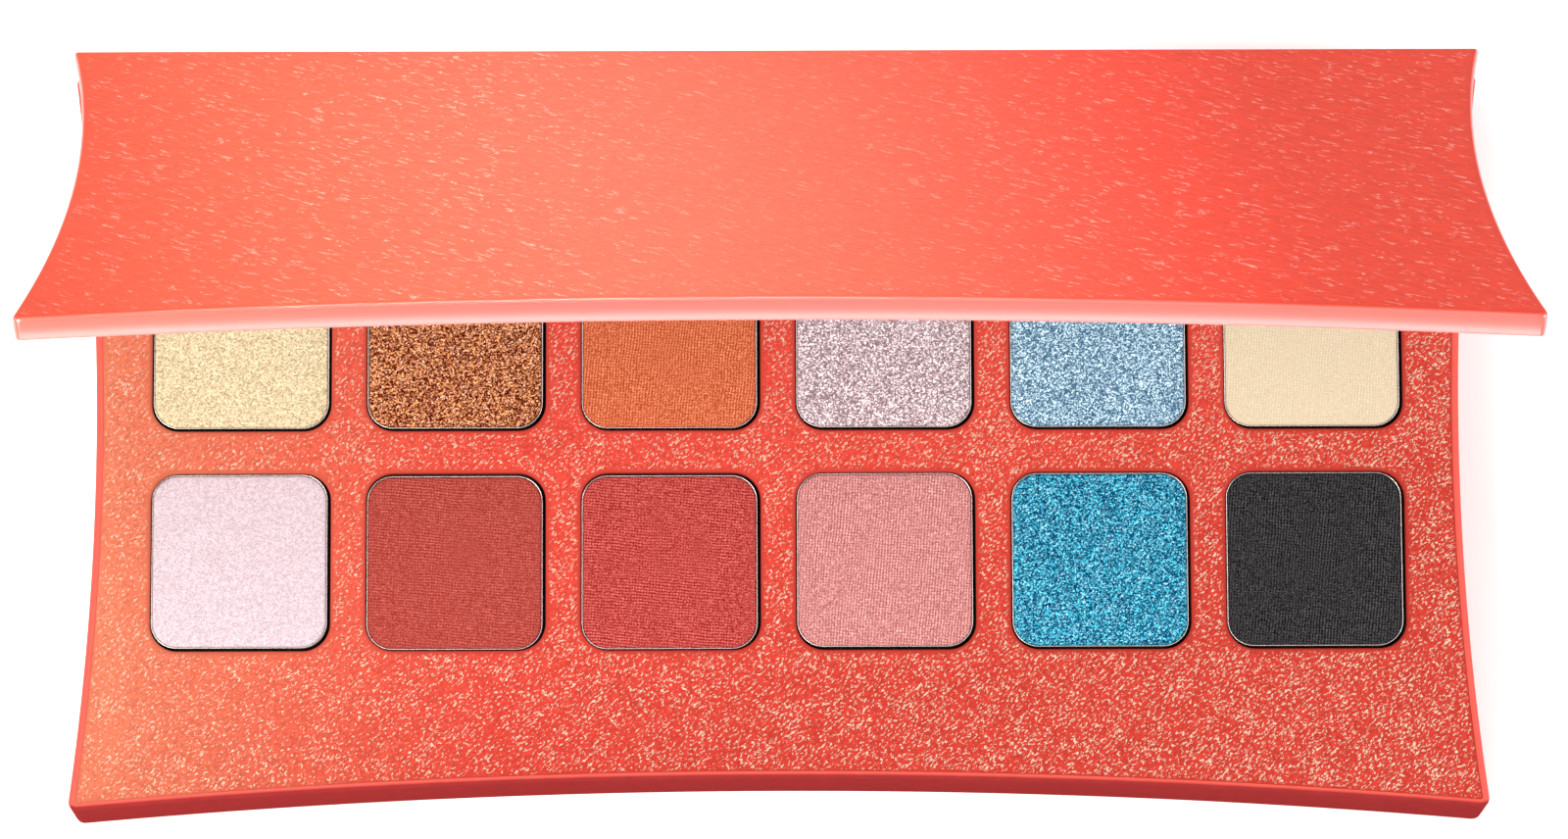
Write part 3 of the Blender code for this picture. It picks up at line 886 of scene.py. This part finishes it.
# Pans
tinPan = {
    "grow": 0.0002,          # larger than the frame's pan on each side
    "foot": 0.0008,
    "footSteps": 4,
    "radius": 0.0036,
    "cornerSteps": 10,
    "lip": 0.00006,
    "lipSteps": 8,
    "floor": 0.00035,
    "floorSteps": 3,
}
nudges = {  # how far each pan has settled from the middle of its window
    "front_1": (-0.00018, 0.00016), "front_2": (-0.00016, -0.00010), "front_3": (-0.00018, -0.00008),
    "front_4": (-0.00014, 0.00016), "front_5": (-0.00012, 0.00010), "front_6": (-0.00017, 0.00012),
    "back_1": (-0.00010, 0.00014), "back_2": (-0.00018, 0.00012), "back_3": (-0.00018, 0.00008),
    "back_4": (-0.00015, 0.00014), "back_5": (-0.00014, 0.00012), "back_6": (-0.00018, 0.00010),
}


def settled(name, amount):
    # Corners of a pan's or a cake's box, grown and moved to where it has settled
    shift = Vector((*nudges[name.split("_", 1)[1]], 0.0))
    low, high = grown(*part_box(name), amount)
    return low + shift, high + shift


def buildPan(name, finish):
    size = tinPan
    low, high = settled(name, size["grow"])
    skin = Skin()
    rings = []

    def ringAt(inset, height):
        corner = max(size["radius"] - inset, leastRadius)
        outline = roundedSquare(*grown(low, high, -inset), corner, size["cornerSteps"])
        rings.append(skin.ring(lift(outline, height)))

    for inset, drop in quarter(size["foot"], size["footSteps"]):
        ringAt(inset, low.z + drop)
    lip = size["lip"]
    for step in range(size["lipSteps"] + 1):  # rounded lip
        turn = math.pi * step / size["lipSteps"]
        ringAt(lip * (1 - math.cos(turn)), high.z - lip + lip * math.sin(turn))
    for inset, drop in reversed(quarter(size["foot"] - size["floor"], size["floorSteps"])):
        ringAt(2 * lip + inset, low.z + size["floor"] + drop)
    skin.close(rings)
    asPiece(name.replace("pan", "tin"), skin.mesh(name), finish, "base", "tinplate", name)


# Powder cakes
cake = {
    "grow": 0.00049,
    "edge": 0.0003,
    "edgeSteps": 6,
    "radius": 0.0035,
    "cornerSteps": 10,
    "spacing": 0.0005,
    "crown": 0.00016,
    "uneven": 0.00003,
    "ripple": 300.0,         # per metre
    "rippleStep": 50.0,      # keeps the ripples of neighbours apart
}
shades = {  # slot, pressing, tone and how far the grains stray from it
    "powder_back_1": ("pale_gold", "pearl", (0.457, 0.371, 0.235), 0.14),
    "powder_back_2": ("bronze", "glitter", (0.371, 0.0669, 0.00122), 0.37),
    "powder_back_3": ("burnt_orange", "rib", (0.472, 0.117, 0.0452), 0.17),
    "powder_back_4": ("lilac", "glitter", (0.529, 0.416, 0.446), 0.30),
    "powder_back_5": ("sky_blue", "glitter", (0.236, 0.399, 0.530), 0.33),
    "powder_back_6": ("cream", "rib", (0.525, 0.445, 0.323), 0.06),
    "powder_front_1": ("pearl", "pearl", (0.441, 0.361, 0.402), 0.07),
    "powder_front_2": ("brick", "weft", (0.305, 0.0507, 0.0397), 0.12),
    "powder_front_3": ("crimson", "weft", (0.355, 0.0442, 0.0384), 0.17),
    "powder_front_4": ("rose", "rib", (0.448, 0.187, 0.183), 0.19),
    "powder_front_5": ("turquoise", "glitter", (0.0, 0.239, 0.383), 0.32),
    "powder_front_6": ("charcoal", "rib", (0.00586, 0.00538, 0.00719), 0.21),
}
cloths = {"rib": (0.45, 0.2), "weft": (0.2, 0.45)}  # share of the threads across and along
mattLook = {
    "pitch": 0.00041,        # of the cloth
    "slant": 0.09,
    "wander": 260.0,         # threads stray to the side by this noise
    "wanderDetail": 1.0,
    "wandering": 1.2,        # in pitches
    "press": 160.0,          # where the cloth has marked the powder
    "pressSpan": (0.3, 0.62),
    "pressLeast": 0.3,
    "dust": 5600.0,
    "dustDetail": 1.0,
    "dustRough": 0.6,
    "dusting": 3.4,
    "skew": 2.0,             # more dark grains than light ones
    "rough": 0.9,
    "shine": 0.04,
    "depth": 0.00004,
    "strength": 0.8,
}
shimmerLook = {  # the same for glitter and pearl
    "flakeShare": 0.6,
    "dustShare": 0.4,
    "dustRough": 0.6,
    "dustCurl": 0.5,
    "dustSpan": (0.35, 0.65),
    "paintedFlashSpan": (0.5, 0.9),
    "rough": (0.6, 0.32),
    "depth": 0.00003,
    "strength": 0.8,
}
shimmers = {
    "glitter": {"grain": 5600.0, "span": (0.24, 0.86), "skew": 2.4, "metallic": 0.30, "paintedFlash": 0.34},
    "pearl": {"grain": 5200.0, "span": (0.20, 0.80), "skew": 1.0, "metallic": 0.15, "paintedFlash": 0.0},
}
eyeGamma = 2.2


def strayed(tone, amount):
    # The tone made lighter or darker by the same step in every channel, as the eye sees it
    seen = [max(part ** (1 / eyeGamma) + amount, 0.0) for part in tone]
    return (*(part**eyeGamma for part in seen), 1.0)


def mattPowder(name, tone, stray, cloth):
    # Pressed through cloth: threads that fade here and there, under loose dust
    look = mattLook
    sockets = {"Roughness": look["rough"], "Specular IOR Level": look["shine"]}
    finish, tree, shader = newFinish(name + "_powder", sockets)
    place = position(tree)
    wander = {"Vector": place, "Scale": look["wander"], "Detail": look["wanderDetail"]}
    shift = addNode(tree, "TexNoise", wander).outputs["Color"]
    shift = vectorNode(tree, "SUBTRACT", shift, (noiseMiddle, noiseMiddle, noiseMiddle))
    reach = {0: shift, "Scale": look["pitch"] * look["wandering"]}
    shift = addNode(tree, "VectorMath", reach, operation="SCALE").outputs[0]
    turn = {"Vector": vectorNode(tree, "ADD", place, shift), "Angle": look["slant"]}
    turned = addNode(tree, "VectorRotate", turn, rotation_type="Z_AXIS").outputs[0]
    parts = addNode(tree, "SeparateXYZ", {"Vector": turned}).outputs
    threads = []
    for axis, share in zip("XY", cloths[cloth]):
        phase = mathNode(tree, "MULTIPLY", parts[axis], math.tau / look["pitch"])
        threads.append(mathNode(tree, "MULTIPLY", mathNode(tree, "SINE", phase), share))
    weave = mathNode(tree, "ADD", *threads)
    press = spread(tree, speckle(tree, place, look["press"]), *look["pressSpan"], look["pressLeast"], 1.0)
    dust = speckle(tree, place, look["dust"], look["dustDetail"], look["dustRough"])
    dust = mathNode(tree, "MULTIPLY", mathNode(tree, "SUBTRACT", dust, noiseMiddle), look["dusting"])
    height = mathNode(tree, "ADD", mathNode(tree, "MULTIPLY", weave, press), dust)
    level = mathNode(tree, "POWER", spread(tree, height, -1.0, 1.0), look["skew"])
    powder = blendColours(tree, level, strayed(tone, -stray), strayed(tone, stray))
    feed(tree, shader, "Base Color", powder)
    bump(tree, shader, height, look["depth"], look["strength"])
    return finish


def shimmerPowder(name, tone, stray, kind):
    # Pressed flakes that each catch the light their own way
    look = {**shimmerLook, **shimmers[kind]}
    sockets = {"Metallic": look["metallic"], "Specular IOR Level": 0.0}
    finish, tree, shader = newFinish(name + "_powder", sockets)
    place = position(tree)
    cells = {"Vector": place, "Scale": look["grain"]}
    flakes = addNode(tree, "TexVoronoi", cells, feature="F1").outputs["Color"]
    chance = addNode(tree, "SeparateColor", {"Color": flakes}).outputs
    flake = chance["Red"]
    dust = speckle(tree, place, look["grain"], rough=look["dustRough"], curl=look["dustCurl"])
    dust = mathNode(tree, "MULTIPLY", spread(tree, dust, *look["dustSpan"]), look["dustShare"])
    level = mathNode(tree, "ADD", mathNode(tree, "MULTIPLY", flake, look["flakeShare"]), dust)
    bright = mathNode(tree, "POWER", spread(tree, level, *look["span"]), look["skew"])
    powder = blendColours(tree, bright, strayed(tone, -stray), strayed(tone, stray))
    paintedFlashes = spread(tree, chance["Green"], *look["paintedFlashSpan"], 0.0, look["paintedFlash"])
    paintedFlashes = mathNode(tree, "MULTIPLY", paintedFlashes, bright)  # painted glints: some bright flakes are painted white
    feed(tree, shader, "Base Color", blendColours(tree, paintedFlashes, powder, white))
    feed(tree, shader, "Roughness", spread(tree, flake, 0.0, 1.0, *look["rough"]))
    bump(tree, shader, level, look["depth"], look["strength"])
    return finish


def buildCake(name):
    size = cake
    slot, pressing, tone, stray = shades[name]
    low, high = settled(name, size["grow"])
    shoulder = high.z - size["crown"]
    middle = (low + high) / 2
    skin = Skin()
    rings = []
    for inset, drop in reversed(quarter(size["edge"], size["edgeSteps"])):
        corner = max(size["radius"] - inset, leastRadius)
        outline = roundedSquare(*grown(low, high, -inset), corner, size["cornerSteps"])
        rings.append(skin.ring(lift(outline, shoulder - drop)))
    foot = skin.ring([(*skin.points[index][:2], low.z) for index in rings[0]])
    skin.cap(foot[::-1])
    skin.loft([foot] + rings)
    skin.fill([rings[-1]], size["spacing"], shoulder)
    mesh = skin.mesh(name)
    half = (high.x - low.x) / 2 - size["edge"]
    for vert in mesh.vertices:
        if vert.co.z > shoulder - tiny:
            x, y = vert.co.x, vert.co.y
            across = (x - middle.x) / half
            along = (y - middle.y) / half
            rise = (max(0.0, 1 - across**2) * max(0.0, 1 - along**2)) ** 0.5
            spot = Vector((x * size["ripple"], y * size["ripple"], middle.x * size["rippleStep"]))
            vert.co.z += rise * (size["crown"] - size["uneven"])
            vert.co.z += rise * size["uneven"] * noise.noise(spot)
    if pressing in cloths:
        finish = mattPowder(slot, tone, stray, pressing)
    else:
        finish = shimmerPowder(slot, tone, stray, pressing)
    asPiece(slot + "_cake", mesh, finish, "base", slot, name)


# Finishes of the tin, the frame's own pieces and the floor
grainDetail = 3.0
tinLook = {
    "sockets": {"Metallic": 1.0},
    "dark": colour(212, 210, 207),
    "light": colour(242, 241, 239),
    "grain": 3500.0,
    "rough": (0.22, 0.34),
    "depth": 0.000008,
    "strength": 0.5,
}
trayLook = {
    "sockets": {"Specular IOR Level": 0.3},
    "dark": (0.003, 0.003, 0.003, 1.0),
    "light": (0.009, 0.009, 0.009, 1.0),
    "grain": 2500.0,
    "rough": (0.5, 0.7),
    "depth": 0.00002,
    "strength": 0.5,
}
nickelLook = {
    "sockets": {"Metallic": 1.0},
    "dark": colour(188, 186, 182),
    "light": colour(226, 224, 220),
    "grain": 4000.0,
    "stretch": (0.15, 1.0, 1.0),  # marks drawn out along X
    "rough": (0.2, 0.32),
    "depth": 0.000006,
    "strength": 0.5,
}
wireLook = {
    **nickelLook,
    "dark": colour(104, 104, 108),
    "light": colour(150, 150, 154),
    "rough": (0.28, 0.4),
}
mirrorLook = {
    "sockets": {"Metallic": 1.0},
    "dark": colour(232, 237, 239),
    "light": colour(242, 245, 246),
    "grain": 60.0,
    "rough": (0.01, 0.03),
}
tapeLook = {
    "sockets": {"Specular IOR Level": 0.1, "Roughness": 0.9},
    "dark": colour(196, 194, 190),
    "light": colour(222, 220, 216),
    "grain": 2600.0,
    "depth": 0.00004,
    "strength": 0.6,
}
paperTone = (0.97, 0.97, 0.97)
paperLook = {
    "sockets": {"Specular IOR Level": 0.1, "Roughness": 0.9},
    "dark": shade(paperTone, 0.99),
    "light": shade(paperTone, 1.01),
    "grain": 300.0,
}
softening = {"edge": 0.0002, "pinEdge": 0.00015, "segments": 2, "angle": 40.0}


def grainedFinish(name, look):
    # Two tones, and often roughness and a shallow relief, from one fine grain
    finish, tree, shader = newFinish(name, look["sockets"])
    place = position(tree)
    if "stretch" in look:
        place = addNode(tree, "Mapping", {"Vector": place, "Scale": look["stretch"]}).outputs["Vector"]
    grain = speckle(tree, place, look["grain"], grainDetail)
    feed(tree, shader, "Base Color", blendColours(tree, grain, look["dark"], look["light"]))
    if "rough" in look:
        feed(tree, shader, "Roughness", spread(tree, grain, *noiseSpan, *look["rough"]))
    if "depth" in look:
        bump(tree, shader, grain, look["depth"], look["strength"])
    return finish


def dressNode(name, finish, soften=0.0):
    node = nodes[name]
    node.data.materials.clear()
    node.data.materials.append(finish)
    if soften:
        weld = node.modifiers.new("weld", "WELD")
        weld.merge_threshold = tiny
        bevel = node.modifiers.new("soften", "BEVEL")
        bevel.width = soften
        bevel.segments = softening["segments"]
        bevel.limit_method = "ANGLE"
        bevel.angle_limit = math.radians(softening["angle"])


buildBaseShell(smoothCoral("smooth_coral", coral["paintedFrontShade"]))
buildFacePlate(crackleCoral("crackle_coral_plate", plateLook))
buildLidShell(crackleCoral("crackle_coral_lid", lidLook))
tin = grainedFinish("drawn_tin", tinLook)
for panName in panNames:
    buildPan(panName, tin)
print("pans drawn")
for cakeName in shades:
    buildCake(cakeName)
print("powder cakes pressed")
dressNode("pan_tray", grainedFinish("black_tray", trayLook))
nickel = grainedFinish("nickel_plate", nickelLook)
for magnetName in ("base_magnet_left", "base_magnet_right", "lid_magnet_left", "lid_magnet_right"):
    dressNode(magnetName, nickel, softening["edge"])
steel = grainedFinish("pin_wire", wireLook)
for pinName in ("hinge_pin_left", "hinge_pin_right"):
    dressNode(pinName, steel, softening["pinEdge"])
dressNode("mirror_frame", smoothCoral("frame_coral", white[:3]), softening["edge"])
dressNode("mirror", grainedFinish("mirror_glass", mirrorLook), softening["edge"])
dressNode("mirror_tape", grainedFinish("foam_tape", tapeLook))
print("frame pieces dressed")


# Floor, light and camera
studio = {
    "floorSize": 20.0,
    "sky": 0.70,
    "fullSpread": 180.0,     # degrees
    "softboxes": {
        "key": {"at": (-0.38, -0.22, 0.54), "aim": (0.0, -0.02, 0.02), "size": (0.46, 0.40),
                "power": 6.8, "tone": (1.0, 0.95, 0.87)},
        "overhead": {"at": (0.05, 0.24, 1.20), "aim": (0.0, 0.0, 0.0), "size": (0.60, 0.40),
                     "power": 2.2, "tone": (1.0, 1.0, 1.0)},
        "card": {"at": (-0.06, -0.76, 0.27), "aim": (0.0, 0.0, 0.10), "size": (0.80, 0.12),
                 "power": 1.5, "tone": (1.0, 1.0, 1.0)},
        "fill": {"at": (0.60, -0.05, 0.30), "aim": (0.10, 0.0, 0.0), "size": (0.40, 0.30),
                 "power": 2.8, "tone": (1.0, 1.0, 1.0)},
        "strip": {"at": (-0.12, 0.55, 0.45), "aim": (-0.022, 0.020, 0.062), "size": (0.03, 0.20),
                  "power": 0.157, "tone": (1.0, 0.97, 0.99), "spread": 15.0},
    },
}


def buildStudio():
    half = studio["floorSize"] / 2
    corners = [(-half, -half, 0.0), (half, -half, 0.0), (half, half, 0.0), (-half, half, 0.0)]
    plane = bpy.data.meshes.new("floor")
    plane.from_pydata(corners, [], [(0, 1, 2, 3)])
    plane.materials.append(grainedFinish("floor_paper", paperLook))
    floor = bpy.data.objects.new("floor", plane)
    bpy.context.scene.collection.objects.link(floor)
    world = bpy.data.worlds.new("studio")
    world.use_nodes = True
    sky = world.node_tree.nodes["Background"].inputs
    sky["Strength"].default_value = studio["sky"]
    sky["Color"].default_value = white
    bpy.context.scene.world = world
    for name, look in studio["softboxes"].items():
        hangLight(name, look)


def hangLight(name, look):
    lamp = bpy.data.lights.new(name, "AREA")
    lamp.shape = "RECTANGLE"
    lamp.size, lamp.size_y = look["size"]
    lamp.spread = math.radians(look.get("spread", studio["fullSpread"]))
    lamp.energy = look["power"]
    lamp.color = look["tone"]
    holder = bpy.data.objects.new(name, lamp)
    holder.location = look["at"]
    way = Vector(look["aim"]) - Vector(look["at"])
    holder.rotation_euler = way.to_track_quat("-Z", "Y").to_euler()
    bpy.context.scene.collection.objects.link(holder)


photoView = {
    "frameWidth": 1600,      # pixels
    "focal": 8003.6,         # pixels
    "sensor": 36.0,          # millimetres
    "aim": (0.00086, 0.00266, 0.0140),
    "distance": 1.1011,
    "tilt": 10.42,           # degrees from straight down, towards the front
    "lean": -0.32,           # degrees to the side
    "roll": -0.158,
    "near": 0.05,
    "far": 20.0,
}


def buildCamera():
    view = photoView
    lens = bpy.data.cameras.new("camera")
    lens.sensor_width = view["sensor"]
    lens.lens = view["focal"] * view["sensor"] / view["frameWidth"]
    lens.clip_start = view["near"]
    lens.clip_end = view["far"]
    tilt, lean, roll = (math.radians(view[turn]) for turn in ("tilt", "lean", "roll"))
    back = Vector((math.sin(lean), -math.sin(tilt) * math.cos(lean), math.cos(tilt) * math.cos(lean)))
    right = Vector((0, math.cos(tilt), math.sin(tilt))).cross(back).normalized()
    up = back.cross(right)
    turned = right * math.cos(roll) + up * math.sin(roll)
    upright = back.cross(turned)
    place = Vector(view["aim"]) + back * view["distance"]
    camera = bpy.data.objects.new("camera", lens)
    camera.matrix_world = Matrix((
        (turned.x, upright.x, back.x, place.x),
        (turned.y, upright.y, back.y, place.y),
        (turned.z, upright.z, back.z, place.z),
        (0, 0, 0, 1),
    ))
    bpy.context.scene.collection.objects.link(camera)
    bpy.context.scene.camera = camera


buildStudio()
buildCamera()
bpy.context.scene.view_settings.view_transform = "Standard"
print("studio set")
